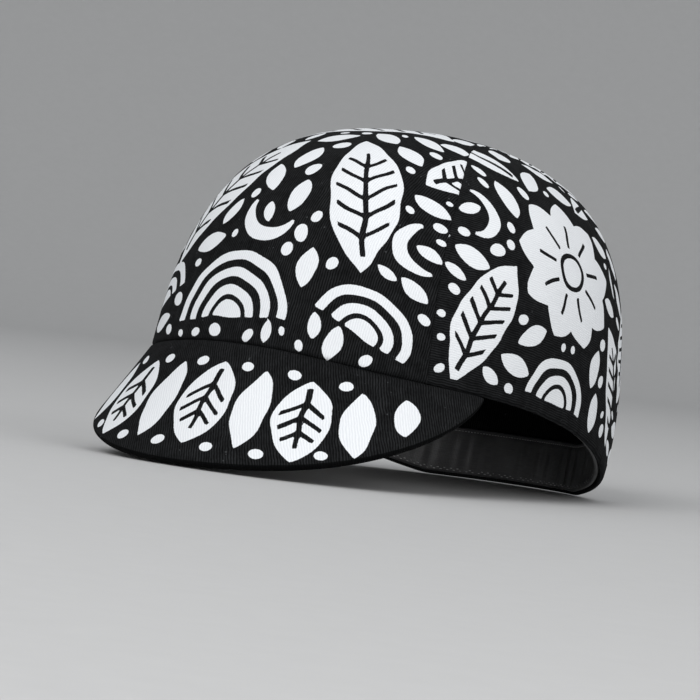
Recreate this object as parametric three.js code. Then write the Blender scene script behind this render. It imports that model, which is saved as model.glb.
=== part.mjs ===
// A cotton cycling cap at rest on a flat surface: a crown of three sewn panels, a sweatband inside its
// hem and a short stiff peak. Millimetres, +Z up. The peak points along -Y and the wearer's left is +X.
// The cloth is shaped in a frame where the hem lies level, and the finished cap is then tipped back until
// it stands on its peak and on the back of its hem.
import * as THREE from "three";
import { mergeVertices } from "three/addons/utils/BufferGeometryUtils.js";

// Head opening: the outside of the hem, seen from above
const hemHalfWidth = 78.2;
const hemFrontReach = 97.1; // from the widest line to the forehead
const hemBackReach = 99.9; // from the widest line to the nape
const hemFrontRoundness = 2.32; // 2 is an ellipse, and more is squarer
const hemBackRoundness = 2.1;
const sideArchHeight = 10.7; // how far the hem rises over the ears
const frontRiseHeight = 5.8; // how far it rises over the forehead
const backFlatteningDepth = 2.6; // how far the soft hem gives where it rests

// Crown: every meridian is a quarter of a superellipse from the hem to the crown's top
const crownHeight = 114.4;
const crownTopOffset = 40.1; // how far the top lies behind the widest line
const crownFrontFullness = 2.82; // 2 is an ellipse, and more is fuller
const crownBackFullness = 2.27;
const backTuckDepth = 1; // how far the elastic draws the hem in under the back
const backTuckHeight = 24; // height above the hem where the cloth swells most over it
const clothWall = 1.6; // cotton with its turned seams

// Seams between the centre panel and the side panels: an arch, as seen from the side
const seamFrontReach = 65.5; // ahead of the widest line
const seamBackReach = 46; // behind it
const seamTopDepth = 7.9; // from the crown's top down to the arch's
const seamFullness = 2.43; // 2 is an ellipse, and more is fuller
const seamLeanDepth = 4.4; // how far the arch bows forwards at half its height
const seamGap = 0.34; // running clearance between two panels

// Sweatband
const bandHeight = 20;
const bandWall = 1.8;
const bandClearance = 0.6; // to the inside of the crown
const bandLeanDepth = 1.8; // how far its free top edge leans in from the crown

// Peak, measured from the seam
const peakLength = 51.6;
const peakThickness = 3.2;
const peakSeamAngle = 64.8; // where the peak ends, round the head opening
const peakDroop = 68.7; // below the level of the hem, at its middle
const peakEndDroop = 58.1; // and at its ends
const peakEndFlare = 28; // how far its ends turn outwards
const peakCornerFullness = 2.0; // more brings the edge further round the corners
const peakTipFullness = 1.69;
const peakClearance = 0.42; // between the hem and the peak

// Mesh steps
const lengthSteps = 34;
const centreSteps = 16;
const sideSteps = 11;
const searchSteps = 44; // halvings when a point of the crown is looked for
const bandSteps = 72;
const peakSteps = 32;
const peakRows = 7;

const degrees = THREE.MathUtils.degToRad;
const mix = THREE.MathUtils.lerp;

// A point on the outline of the head opening, at an angle from the middle of the forehead
function hemOutline(angle) {
  const side = Math.sin(angle);
  const ahead = Math.cos(angle);
  const roundness = ahead > 0 ? hemFrontRoundness : hemBackRoundness;
  const reach = ahead > 0 ? hemFrontReach : hemBackReach;
  const size = (Math.abs(side) ** roundness + Math.abs(ahead) ** roundness) ** (-1 / roundness);
  return new THREE.Vector2(hemHalfWidth * side * size, -reach * ahead * size);
}

// How the cap tips back: its peak and the back of its hem come to the same height
const rest = restingTilt();

// Height of the hem over the level of its two ends, and flat where the cloth lies on the surface
function hemHeight(x, y) {
  const ear = sideArchHeight * Math.abs(x / hemHalfWidth) ** 4;
  const forehead = frontRiseHeight * Math.max(0, -y / hemFrontReach) ** 3;
  const surface = (y * Math.sin(rest.tilt) - rest.lift) / Math.cos(rest.tilt);
  return Math.max(ear + forehead, surface);
}

// A point on the outside of the crown: the meridian that starts at an angle round the hem, and the share
// of its way up, as the angle of a superellipse from 0 at the hem to a right angle at the top
function crownPoint(angle, climb) {
  const foot = hemOutline(angle);
  const ahead = 0.5 + 0.5 * Math.cos(angle);
  const fullness = mix(crownBackFullness, crownFrontFullness, ahead);
  const spread = Math.cos(climb) ** (2 / fullness);
  const rise = Math.sin(climb) ** (2 / fullness);
  const footHeight = hemHeight(foot.x, foot.y);
  const swell = Math.sin(Math.min(1, (rise * crownHeight) / (2 * backTuckHeight)) * Math.PI);
  const reach = spread * (1 + ((1 - ahead) ** 2 * backTuckDepth * swell) / foot.length());
  return new THREE.Vector3(
    foot.x * reach,
    crownTopOffset + (foot.y - crownTopOffset) * reach,
    mix(footHeight, crownHeight, rise),
  );
}

// The direction out of the cloth at that point
function crownNormal(angle, climb) {
  const step = 1e-3;
  const top = Math.PI / 2;
  if (climb > top - step) return new THREE.Vector3(0, 0, 1);
  const up = crownPoint(angle, climb + step).sub(crownPoint(angle, Math.max(0, climb - step)));
  const along = crownPoint(angle + step, climb).sub(crownPoint(angle - step, climb));
  return along.cross(up).normalize();
}

// The largest value, from 0 up to a limit, for which a test still holds
function lastThatHolds(limit, holds) {
  let low = 0;
  let high = limit;
  for (let i = 0; i < searchSteps; i++) {
    const middle = (low + high) / 2;
    if (holds(middle)) low = middle;
    else high = middle;
  }
  return low;
}

// The meridian and the climb of the point of the crown over a place in the plan
function crownPlace(x, y) {
  const outward = new THREE.Vector2(x, y - crownTopOffset);
  const longest = (2 * (hemFrontReach + hemBackReach)) / Math.max(outward.length(), 1e-6);
  const toHem = lastThatHolds(longest, (k) => {
    const along = crownTopOffset + outward.y * k;
    const roundness = along < 0 ? hemFrontRoundness : hemBackRoundness;
    const reach = along < 0 ? hemFrontReach : hemBackReach;
    return Math.abs((outward.x * k) / hemHalfWidth) ** roundness + Math.abs(along / reach) ** roundness < 1;
  });
  const footY = crownTopOffset + outward.y * toHem;
  const reach = footY < 0 ? hemFrontReach : hemBackReach;
  const angle = Math.atan2((outward.x * toHem) / hemHalfWidth, -footY / reach);
  const ahead = 0.5 + 0.5 * Math.cos(angle);
  const fullness = mix(crownBackFullness, crownFrontFullness, ahead);
  const climb = Math.acos(Math.min(1, 1 / toHem) ** (fullness / 2));
  return { angle, climb, fullness, beyondHem: toHem < 1 };
}

// Whether a point lies inside the crown. Here and in the two functions that follow, heights are
// straightened: 0 all along the hem and crownHeight at the top.
function insideCrown(x, y, height) {
  const { climb, beyondHem, fullness } = crownPlace(x, y);
  return !beyondHem && crownHeight * Math.sin(climb) ** (2 / fullness) > height;
}

// A point of the seam's arch on the left of the crown, from the forehead at 0 to the nape at 1. Outside is
// how far it is moved out of the side panel.
function seamPoint(share, outside) {
  const turn = Math.PI * share;
  const lengths = Math.abs(Math.cos(turn)) ** seamFullness + Math.sin(turn) ** seamFullness;
  const round = lengths ** (-1 / seamFullness);
  const middle = (seamBackReach - seamFrontReach) / 2;
  const halfSpan = (seamBackReach + seamFrontReach) / 2 + outside;
  const archHeight = crownHeight - seamTopDepth + outside;
  const height = archHeight * Math.sin(turn) * round;
  const lean = seamLeanDepth * Math.sin((Math.PI * height) / archHeight);
  const y = middle - halfSpan * Math.cos(turn) * round - lean;
  const x = lastThatHolds(hemHalfWidth, (value) => insideCrown(value, y, height));
  return new THREE.Vector3(x, y, height);
}

// A point of the crown between the two seams. It lies on the half plane through the seam's point and the
// middle of the arch's foot line, at a share of the way across, from 1 on the left to -1 on the right.
function betweenSeams(share, across, outside) {
  const seam = seamPoint(share, outside);
  const middle = (seamBackReach - seamFrontReach) / 2;
  const out = new THREE.Vector2(seam.y - middle, seam.z).normalize();
  const x = across * seam.x;
  const reach = lastThatHolds(hemFrontReach + hemBackReach, (value) =>
    insideCrown(x, middle + out.x * value, out.y * value),
  );
  return new THREE.Vector2(x, middle + out.x * reach);
}

// Outer and inner points of the cloth over a place in the plan. On the hem the inner point is set level
// with the hem's own height there, so that the edge is flat where it rests.
function clothPoints(place, onHem) {
  const { angle, climb } = crownPlace(place.x, place.y);
  const way = onHem ? 0 : climb;
  const outer = crownPoint(angle, way);
  const inner = outer.clone().addScaledVector(crownNormal(angle, way), -clothWall);
  if (onHem) inner.z = hemHeight(inner.x, inner.y);
  return { outer, inner };
}

// A closed wall between two grids of points, rows by columns. A round wall joins its last column to its
// first, and corners where several points meet are merged into one.
function wallBetween(outer, inner, round = false) {
  const rows = outer.length;
  const columns = outer[0].length;
  const points = [...outer.flat(), ...inner.flat()];
  const at = (side, row, column) => side * rows * columns + row * columns + (column % columns);
  const faces = [];
  const quad = (a, b, c, d) => faces.push(a, b, c, a, c, d);
  const lastColumn = round ? columns : columns - 1;
  for (let i = 0; i < rows - 1; i++) {
    for (let j = 0; j < lastColumn; j++) {
      quad(at(0, i, j), at(0, i, j + 1), at(0, i + 1, j + 1), at(0, i + 1, j));
      quad(at(1, i, j), at(1, i + 1, j), at(1, i + 1, j + 1), at(1, i, j + 1));
    }
  }
  for (let j = 0; j < lastColumn; j++) {
    quad(at(0, 0, j), at(1, 0, j), at(1, 0, j + 1), at(0, 0, j + 1));
    quad(at(0, rows - 1, j), at(0, rows - 1, j + 1), at(1, rows - 1, j + 1), at(1, rows - 1, j));
  }
  for (let i = 0; i < rows - 1 && !round; i++) {
    quad(at(0, i, 0), at(0, i + 1, 0), at(1, i + 1, 0), at(1, i, 0));
    quad(at(0, i, lastColumn), at(1, i, lastColumn), at(1, i + 1, lastColumn), at(0, i + 1, lastColumn));
  }
  const loose = new THREE.BufferGeometry().setFromPoints(points).setIndex(faces);
  const merged = mergeVertices(loose, 1e-3);
  const index = merged.index.array;
  const kept = [];
  for (let i = 0; i < index.length; i += 3) {
    const [a, b, c] = index.slice(i, i + 3);
    if (a !== b && b !== c && c !== a) kept.push(a, b, c);
  }
  merged.setIndex(kept);
  merged.computeVertexNormals();
  return merged;
}

function gridOf(rows, columns, point) {
  return Array.from({ length: rows + 1 }, (_, i) =>
    Array.from({ length: columns + 1 }, (_, j) => point(i / rows, j / columns)),
  );
}

function sideOfGrid(grid, side) {
  return grid.map((row) => row.map((point) => point[side]));
}

// The panel that runs from the forehead over the top of the head to the nape
function centrePanel() {
  const grid = gridOf(centreSteps, lengthSteps, (row, column) =>
    clothPoints(betweenSeams(column, mix(1, -1, row), seamGap / 2), column === 0 || column === 1),
  );
  return wallBetween(sideOfGrid(grid, "outer"), sideOfGrid(grid, "inner"));
}

// The panel over one ear, from its arched seam down to the hem. Side is 1 for the left and -1 for the right.
function sidePanel(side) {
  const frontFoot = seamPoint(0, -seamGap / 2).y;
  const backFoot = seamPoint(1, -seamGap / 2).y;
  const grid = gridOf(sideSteps, lengthSteps, (row, column) => {
    const length = side > 0 ? 1 - column : column;
    const seam = seamPoint(length, -seamGap / 2);
    const y = mix(seam.y, mix(frontFoot, backFoot, length), row);
    const height = mix(seam.z, 0, row);
    const x = lastThatHolds(hemHalfWidth, (value) => insideCrown(value, y, height));
    return clothPoints(new THREE.Vector2(side * x, y), row === 1 || column === 0 || column === 1);
  });
  return wallBetween(sideOfGrid(grid, "outer"), sideOfGrid(grid, "inner"));
}

// The band inside the hem, whose free top edge stands a little off the crown
function sweatband() {
  const levels = 2;
  const face = (inset) =>
    Array.from({ length: levels + 1 }, (_, i) =>
      Array.from({ length: bandSteps }, (_, j) => {
        const share = 1 - i / levels;
        const angle = (-2 * Math.PI * j) / bandSteps;
        const ahead = 0.5 + 0.5 * Math.cos(angle);
        const fullness = mix(crownBackFullness, crownFrontFullness, ahead);
        const climb = Math.asin(((share * bandHeight) / crownHeight) ** (fullness / 2));
        const point = crownPoint(angle, climb);
        point.addScaledVector(crownNormal(angle, climb), -inset - bandLeanDepth * share);
        if (share === 0) point.z = hemHeight(point.x, point.y);
        return point;
      }),
    );
  const outerInset = clothWall + bandClearance;
  return wallBetween(face(outerInset), face(outerInset + bandWall), true);
}

// A point on the upper face of the peak. Across runs from -1 to 1 along the seam, and reach is the
// distance from the hem along the peak.
function peakPoint(across, reach) {
  const foot = hemOutline(across * degrees(peakSeamAngle));
  const droop = degrees(mix(peakDroop, peakEndDroop, across ** 2));
  const turn = degrees(peakEndFlare) * across;
  const forehead = frontRiseHeight * Math.max(0, -foot.y / hemFrontReach) ** 3;
  const ear = sideArchHeight * Math.abs(foot.x / hemHalfWidth) ** 4;
  return new THREE.Vector3(
    foot.x + reach * Math.cos(droop) * Math.sin(turn),
    foot.y - reach * Math.cos(droop) * Math.cos(turn),
    forehead + ear - reach * Math.sin(droop),
  );
}

// How far the peak reaches from the hem, at a place along the seam
function peakReach(across) {
  const fullReach = (1 - Math.abs(across) ** peakCornerFullness) ** (1 / peakTipFullness);
  return peakClearance + peakLength * fullReach;
}

// Upper and lower points of the peak
function peakPoints(across, share) {
  const reach = mix(peakClearance, peakReach(across), share);
  const step = 1e-3;
  const along = peakPoint(across + step, reach).sub(peakPoint(across - step, reach));
  const down = peakPoint(across, reach + 1).sub(peakPoint(across, reach));
  const upper = peakPoint(across, reach);
  const lower = upper.clone().addScaledVector(along.cross(down).normalize(), peakThickness);
  return { upper, lower };
}

function peakGrid() {
  return gridOf(peakRows, peakSteps, (row, column) => {
    const across = Math.cos(Math.PI * column);
    return peakPoints(across, row);
  });
}

function peak() {
  const grid = peakGrid();
  return wallBetween(sideOfGrid(grid, "upper"), sideOfGrid(grid, "lower"));
}

// The tilt that brings the lowest point of the peak level with the back of the hem, and the height that
// the origin of the hem's frame then has over the surface
function restingTilt() {
  const points = peakGrid().flatMap((row) => row.flatMap((point) => [point.upper, point.lower]));
  const tilts = points.map((point) => {
    const apart = hemBackReach - point.y;
    return Math.asin(backFlatteningDepth / Math.hypot(apart, point.z)) - Math.atan2(point.z, apart);
  });
  const tilt = Math.max(...tilts);
  return { tilt, lift: hemBackReach * Math.sin(tilt) - backFlatteningDepth };
}

const printedCotton = new THREE.MeshStandardMaterial({ color: 0x1d1e20, roughness: 0.9, metalness: 0 });
const bandCotton = new THREE.MeshStandardMaterial({ color: 0x101012, roughness: 0.75, metalness: 0 });

const cap = new THREE.Group();
const addPiece = (name, geometry, material) => {
  const mesh = new THREE.Mesh(geometry, material.clone());
  mesh.name = name;
  cap.add(mesh);
};
addPiece("crown_centre_panel", centrePanel(), printedCotton);
addPiece("crown_left_panel", sidePanel(1), printedCotton);
addPiece("crown_right_panel", sidePanel(-1), printedCotton);
addPiece("sweatband", sweatband(), bandCotton);
addPiece("peak", peak(), printedCotton);

// Tip the cap back onto its peak, and centre its footprint on the origin
cap.rotation.x = -rest.tilt;
cap.position.z = rest.lift;
cap.updateMatrixWorld(true);
const bounds = new THREE.Box3().setFromObject(cap, true);
cap.position.y = -(bounds.min.y + bounds.max.y) / 2;

export default cap;
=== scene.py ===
# Looks of a printed cotton cycling cap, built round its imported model.
# Shapes are worked out in millimetres in the frame of the hem, and go into the meshes in metres.
import math

import bmesh
import bpy
import numpy as np
from mathutils import Matrix, Vector


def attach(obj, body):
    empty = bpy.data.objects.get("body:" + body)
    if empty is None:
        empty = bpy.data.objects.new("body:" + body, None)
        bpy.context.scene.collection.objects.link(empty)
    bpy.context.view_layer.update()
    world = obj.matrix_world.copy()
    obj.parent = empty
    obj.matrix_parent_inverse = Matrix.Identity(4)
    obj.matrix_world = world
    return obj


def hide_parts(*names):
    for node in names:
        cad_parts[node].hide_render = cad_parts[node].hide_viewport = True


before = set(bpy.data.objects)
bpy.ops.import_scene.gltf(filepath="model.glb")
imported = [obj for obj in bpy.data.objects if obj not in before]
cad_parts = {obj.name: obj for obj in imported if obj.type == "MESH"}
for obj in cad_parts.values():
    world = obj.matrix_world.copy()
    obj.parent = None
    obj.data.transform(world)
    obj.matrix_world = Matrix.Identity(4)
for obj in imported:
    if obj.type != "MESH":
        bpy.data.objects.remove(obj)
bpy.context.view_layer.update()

cap = {  # outside of the crown in millimetres, with the hem's level as height 0
    "hemHalfWidth": 78.2,
    "hemFrontReach": 97.1,
    "hemBackReach": 99.9,
    "hemFrontRoundness": 2.32,
    "hemBackRoundness": 2.1,
    "sideArch": 10.7,
    "frontRise": 5.8,
    "crownHeight": 114.4,
    "crownTopOffset": 40.1,
    "frontFullness": 2.82,
    "backFullness": 2.27,
    "backTuck": 1.0,
    "backTuckHeight": 24.0,
    "wall": 1.6,
    "tilt": math.radians(12.3173),  # how far the cap tips back onto its hem
    "shift": 9.04,  # back and up, onto the middle of its resting place
    "lift": 18.711,
}
seam = {  # arch between the centre panel and a side panel, as seen from the side
    "frontReach": 65.5,
    "backReach": 46.0,
    "topDepth": 7.9,
    "fullness": 2.43,
    "lean": 4.4,
    "overlap": 0.12,  # how far each panel runs on under the crease
}
working = {  # how finely the shapes are worked out
    "halvings": 36,  # of a range in which a place is searched for
    "tableSteps": 200,  # of a table that is read between its values
    "mergeDistance": 3e-6,  # metres between corners that become one
    "flatEdge": 1e-7,  # metres, the length of an edge that is taken out
    "edgeRows": (0, 0.08, 0.22, 0.42, 0.7, 1.05, 1.5, 2.1, 2.9),  # mm from an edge, where the cloth turns in
    "fullLine": 14.0,  # mm, the shortest line with its edge rows at full distance
}
farAway = 9.0  # mm, a print distance with no print near


def lastThatHolds(limit, holds):
    # Halves the range from 0 to the limit until it closes on the last value for which the test holds
    low, high = np.zeros_like(limit), limit + 0.0
    for _ in range(working["halvings"]):
        middle = (low + high) / 2
        good = holds(middle)
        low, high = np.where(good, middle, low), np.where(good, high, middle)
    return low


def hemOutline(angle):
    # Superellipse round the head opening, squarer with more roundness; angle 0 is the forehead
    side, ahead = np.sin(angle), np.cos(angle)
    roundness = np.where(ahead > 0, cap["hemFrontRoundness"], cap["hemBackRoundness"])
    reach = np.where(ahead > 0, cap["hemFrontReach"], cap["hemBackReach"])
    size = (np.abs(side) ** roundness + np.abs(ahead) ** roundness) ** (-1 / roundness)
    return cap["hemHalfWidth"] * side * size, -reach * ahead * size


def hemArch(x, y):
    # Rises with the fourth power of x towards the ears and the third power of y towards the forehead
    ear = cap["sideArch"] * np.abs(x / cap["hemHalfWidth"]) ** 4
    forehead = cap["frontRise"] * np.maximum(0, -y / cap["hemFrontReach"]) ** 3
    return ear + forehead


def hemHeight(x, y):
    # The hem's arch, or the floor's level where that is higher, because the hem lies on it
    floorLevel = (y * np.sin(cap["tilt"]) - cap["lift"]) / np.cos(cap["tilt"])
    return np.maximum(hemArch(x, y), floorLevel)


def crownFullness(angle):
    # The power of the crown's superellipse, which goes from the front's to the back's with the cosine
    return cap["backFullness"] + (cap["frontFullness"] - cap["backFullness"]) * (0.5 + 0.5 * np.cos(angle))


def crownPoint(angle, climb):
    # Quarter of a superellipse from the hem, where climb is 0, to the crown's top, where it is a right angle
    footX, footY = hemOutline(angle)
    fullness = crownFullness(angle)
    spread, rise = np.cos(climb) ** (2 / fullness), np.sin(climb) ** (2 / fullness)
    swell = np.sin(np.minimum(1, rise * cap["crownHeight"] / (2 * cap["backTuckHeight"])) * np.pi)
    behind = (0.5 - 0.5 * np.cos(angle)) ** 2
    reach = spread * (1 + behind * cap["backTuck"] * swell / np.hypot(footX, footY))
    top = cap["crownTopOffset"]
    height = hemHeight(footX, footY) * (1 - rise) + cap["crownHeight"] * rise
    return np.stack([footX * reach, top + (footY - top) * reach, height], -1)


def crownPlace(x, y):
    # The angle and climb of a place in the plan, from the ray to it from under the top, stretched to the hem
    top = cap["crownTopOffset"]
    rayX, rayY = x, y - top
    longest = 2 * (cap["hemFrontReach"] + cap["hemBackReach"]) / np.maximum(np.hypot(rayX, rayY), 1e-6)

    def insideHem(stretch):
        # The outline's superellipse is below 1
        along = top + rayY * stretch
        roundness = np.where(along < 0, cap["hemFrontRoundness"], cap["hemBackRoundness"])
        reach = np.where(along < 0, cap["hemFrontReach"], cap["hemBackReach"])
        across = np.abs(rayX * stretch / cap["hemHalfWidth"])
        return across ** roundness + np.abs(along / reach) ** roundness < 1

    stretch = lastThatHolds(longest, insideHem)
    footY = top + rayY * stretch
    reach = np.where(footY < 0, cap["hemFrontReach"], cap["hemBackReach"])
    angle = np.arctan2(rayX * stretch / cap["hemHalfWidth"], -footY / reach)
    climb = np.arccos(np.minimum(1, 1 / stretch) ** (crownFullness(angle) / 2))
    return angle, climb, stretch < 1


def insideCrown(x, y, height):
    # Heights here are straightened: 0 all along the hem and crownHeight at the top
    angle, climb, beyondHem = crownPlace(x, y)
    return ~beyondHem & (cap["crownHeight"] * np.sin(climb) ** (2 / crownFullness(angle)) > height)


def seamPoint(share, outside):
    # Superellipse arch in the side view, bowed forwards by a sine; x is found on the crown
    turn = np.pi * share
    power = seam["fullness"]
    size = (np.abs(np.cos(turn)) ** power + np.abs(np.sin(turn)) ** power) ** (-1 / power)
    archHeight = cap["crownHeight"] - seam["topDepth"] + outside
    height = archHeight * np.sin(turn) * size
    middle = (seam["backReach"] - seam["frontReach"]) / 2
    halfSpan = (seam["backReach"] + seam["frontReach"]) / 2 + outside
    y = middle - halfSpan * np.cos(turn) * size - seam["lean"] * np.sin(np.pi * height / archHeight)
    x = lastThatHolds(np.full_like(y, cap["hemHalfWidth"]), lambda value: insideCrown(value, y, height))
    return x, y, height


def splined(values, places):
    # Catmull-Rom spline down the first axis, read at fractional places, one column of places for each column
    padded = np.concatenate([2 * values[:1] - values[1:2], values, 2 * values[-1:] - values[-2:-1]])
    start = np.clip(np.floor(places).astype(int), 0, len(values) - 2)
    part = (places - start)[..., None]
    before, first, last, after = (
        np.take_along_axis(padded, (start + step)[..., None], axis=0) for step in range(4)
    )
    bend = 2 * before - 5 * first + 4 * last - after
    twist = 3 * first - before - 3 * last + after
    return 0.5 * (2 * first + (last - before) * part + bend * part ** 2 + twist * part ** 3)


def edgeSpacing(lengths, steps):
    # Distances from 0 to each length: the edge rows by both ends, and even steps between
    close = np.array(working["edgeRows"])
    scale = np.minimum(1, lengths / working["fullLine"])
    inner = np.linspace(0, 1, steps)[1:-1, None]
    first, last = close[-1] * scale, lengths - close[-1] * scale
    even = first + (last - first) * inner
    return np.concatenate([close[:, None] * scale, even, lengths - close[::-1, None] * scale])


def arcLengths(points):
    # Running length down the first axis
    steps = np.linalg.norm(np.diff(points, axis=0), axis=-1)
    return np.concatenate([np.zeros((1, *steps.shape[1:])), np.cumsum(steps, axis=0)])


def resampled(points, steps):
    # Reads each column of points again at the spacing that edgeSpacing gives, by its running length
    lengths = arcLengths(points)
    total = lengths[-1]
    wanted = edgeSpacing(np.maximum(total, 1e-3), steps)
    count = len(points)
    places = np.empty_like(wanted)
    for column in range(points.shape[1]):
        places[:, column] = np.interp(wanted[:, column], lengths[:, column], np.arange(count))
    return splined(points, places), wanted, total


def gridNormals(points):
    # Cross product of the two grid directions, with spoilt ones at closed corners taken from their neighbours
    normal = np.cross(np.gradient(points, axis=1), np.gradient(points, axis=0))
    size = np.linalg.norm(normal, axis=-1, keepdims=True)
    normal = normal / np.maximum(size, 1e-9)
    normal[:, 0], normal[:, -1] = normal[:, 1], normal[:, -2]
    return normal


def toRest(points):
    # From the hem's frame in millimetres to the resting cap in metres
    c, s = np.cos(cap["tilt"]), np.sin(cap["tilt"])
    x, y, z = (points[..., i] for i in range(3))
    placed = np.stack([x, y * c + z * s + cap["shift"], z * c - y * s + cap["lift"]], -1)
    placed[..., 2] = np.maximum(placed[..., 2], 0)
    return placed / 1000


def closedWall(outer, inner, roundWall=False):
    # Vertices and faces of a wall between two grids. The inner grid has as many steps as the outer, or half
    # of them. A round wall joins its last column to its first
    def indexed(grid, first):
        # The vertex numbers of a grid
        index = np.arange(grid.shape[0] * grid.shape[1]).reshape(grid.shape[:2]) + first
        return np.concatenate([index, index[:, :1]], axis=1) if roundWall else index

    near, far = indexed(outer, 0), indexed(inner, outer.shape[0] * outer.shape[1])
    faces = []
    for index, turned in ((near, False), (far, True)):
        corners = [index[:-1, :-1], index[:-1, 1:], index[1:, 1:], index[1:, :-1]]
        faces += np.stack(corners[::-1] if turned else corners, -1).reshape(-1, 4).tolist()
    borders = [(near[0][::-1], far[0][::-1]), (near[-1], far[-1])]
    if not roundWall:
        borders += [(near[:, 0], far[:, 0]), (near[:, -1][::-1], far[:, -1][::-1])]
    for fine, coarse in borders:
        step = (len(fine) - 1) // (len(coarse) - 1)
        for i in range(len(coarse) - 1):
            along = fine[i * step:(i + 1) * step + 1]
            faces.append([*along.tolist(), int(coarse[i + 1]), int(coarse[i])])
    return np.concatenate([outer.reshape(-1, 3), inner.reshape(-1, 3)]), faces


def meshPiece(name, points, faces, material, cloth=None):
    # One object at the origin from arrays; cloth holds across, along and print distance in millimetres
    mesh = bpy.data.meshes.new(name)
    mesh.from_pydata(points.tolist(), [], faces)
    if cloth is not None:
        mesh.attributes.new("cloth", "FLOAT_VECTOR", "POINT").data.foreach_set("vector", cloth.ravel())
    piece = bpy.data.objects.new(name, mesh)
    bpy.context.collection.objects.link(piece)
    work = bmesh.new()
    work.from_mesh(mesh)
    bmesh.ops.remove_doubles(work, verts=work.verts, dist=working["mergeDistance"])
    bmesh.ops.dissolve_degenerate(work, edges=work.edges, dist=working["flatEdge"])
    work.to_mesh(mesh)
    work.free()
    mesh.shade_smooth()
    mesh.materials.append(material)
    return piece


# Printed shapes. Each takes places about its own centre and gives a signed distance, below zero inside.
def petal(x, y, length, width):
    # Two arcs that meet at the tips
    radius = (length ** 2 + width ** 2) / (4 * width)
    return np.hypot(x, np.abs(y) + radius - width / 2) - radius


def leaf(x, y, length, width, bend):
    # A petal that a parabola bends, less a midrib and slanting veins
    y = y - bend * (1 - (2 * x / length) ** 2)
    blade = petal(x, y, length, width)
    midrib = np.maximum(np.abs(y) - 0.95 * (1 - 0.5 * x / length), np.abs(x + 0.04 * length) - 0.37 * length)
    pitch = max(6.0, length / 8)
    pairs = int(0.32 * length / pitch) if width > 17 else -1
    slanted = x + 0.05 * length - 0.75 * np.abs(y)
    nearest = np.round(slanted / pitch)
    veins = np.maximum(np.abs(slanted - nearest * pitch) * 0.8 - 0.84, blade + 2.2)
    veins = np.where(np.abs(nearest) <= pairs, veins, farAway)
    return np.maximum(blade, -np.minimum(midrib, veins))


def pebble(x, y, length, width):
    # Ellipse, with its distance from the gradient of the quadratic form
    near = np.hypot(2 * x / length, 2 * y / width)
    slope = np.hypot(4 * x / length ** 2, 4 * y / width ** 2)
    return near * (near - 1) / np.maximum(slope, 1e-6)


def crescent(x, y, radius, bite):
    # A disc less a second disc that is moved across it, with the thin ends of the horns cut off
    hornEnd = (0.135 * radius ** 2 + bite ** 2) / (2 * bite) - 0.26 * radius
    moon = np.maximum(np.hypot(x, y) - radius, radius * 0.93 - np.hypot(x - bite, y))
    return np.maximum(moon, x - hornEnd)


def sunrise(x, y, radius, count):
    # Half a disc under arcs that share its centre
    distance = np.hypot(x, y)
    pitch = radius / (count + 1)
    ring = np.abs(np.mod(distance, pitch) - pitch / 2) - pitch * 0.27
    rings = np.maximum(np.maximum(ring, pitch * 1.1 - distance), distance - radius)
    return np.maximum(np.minimum(rings, distance - pitch * 0.95), -y)


def flower(x, y, radius, petals):
    # Petals folded round a bare ring with a round middle
    sector = 2 * np.pi / petals
    turn = np.arctan2(y, x)
    folded = turn - sector * np.round(turn / sector)
    distance = np.hypot(x, y)
    along, aside = distance * np.cos(folded), distance * np.sin(folded)
    hub = radius * 0.2
    length = radius - hub * 0.2
    blade = petal(along - hub * 0.2 - length / 2, aside, length, length * 1.9 * np.sin(sector / 2))
    blade = np.maximum(blade, hub * 1.32 - distance)
    vein = np.maximum(np.abs(aside) - 0.8, np.abs(along - radius * 0.5) - radius * 0.16)
    return np.minimum(np.maximum(blade, -vein), distance - hub)


def sprig(x, y, length, pairs):
    # A stem with leaflets in pairs, folded about it
    stem = np.maximum(np.abs(y) - 0.85, np.abs(x) - length / 2)
    pitch = length / (pairs + 0.6)
    slot = np.clip(np.round((x - np.abs(y) * 0.9) / pitch), -(pairs // 2), (pairs - 1) // 2)
    rootX = slot * pitch
    size = pitch * 1.55
    cos, sin = np.cos(0.84), np.sin(0.84)
    alongX = (x - rootX) * cos + np.abs(y) * sin
    aside = -(x - rootX) * sin + np.abs(y) * cos
    return np.minimum(stem, petal(alongX - size / 2 - 0.8, aside, size, size * 0.42))


def printDistance(design, across, along):
    # The least signed distance over all the rows, after a slight wobble of the places by sines
    a = across + 0.35 * np.sin(along / 3.7 + 0.8) + 0.2 * np.sin(along / 1.9 + across / 5)
    l = along + 0.35 * np.sin(across / 4.1 + 2.0) + 0.2 * np.sin(across / 2.2 - along / 6)
    nearest = np.full(a.shape, farAway)
    for shape, rows in design.items():
        for row in rows:
            turn = np.radians(row[2])
            x = (a - row[0]) * np.cos(turn) + (l - row[1]) * np.sin(turn)
            y = (l - row[1]) * np.cos(turn) - (a - row[0]) * np.sin(turn)
            nearest = np.minimum(nearest, shape(x, y, *row[3:]))
    return nearest


fillers = {  # small shapes in the bare places, in millimetres
    "tryPitch": 3.1,
    "tryFrom": 3,  # the hem's side of the places that are tried
    "jitter": 1.1,
    "gap": 2.5,
    "borderGap": 1.2,
    "smallest": 1.4,
    "largest": 6.0,
    "pebbleSizes": (2.3, 1.8),  # length and width of a filler of size 1
    "petalSizes": (2.7, 1.3),
    "petalsFrom": 3.2,  # size above which a filler is a petal
}


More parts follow.
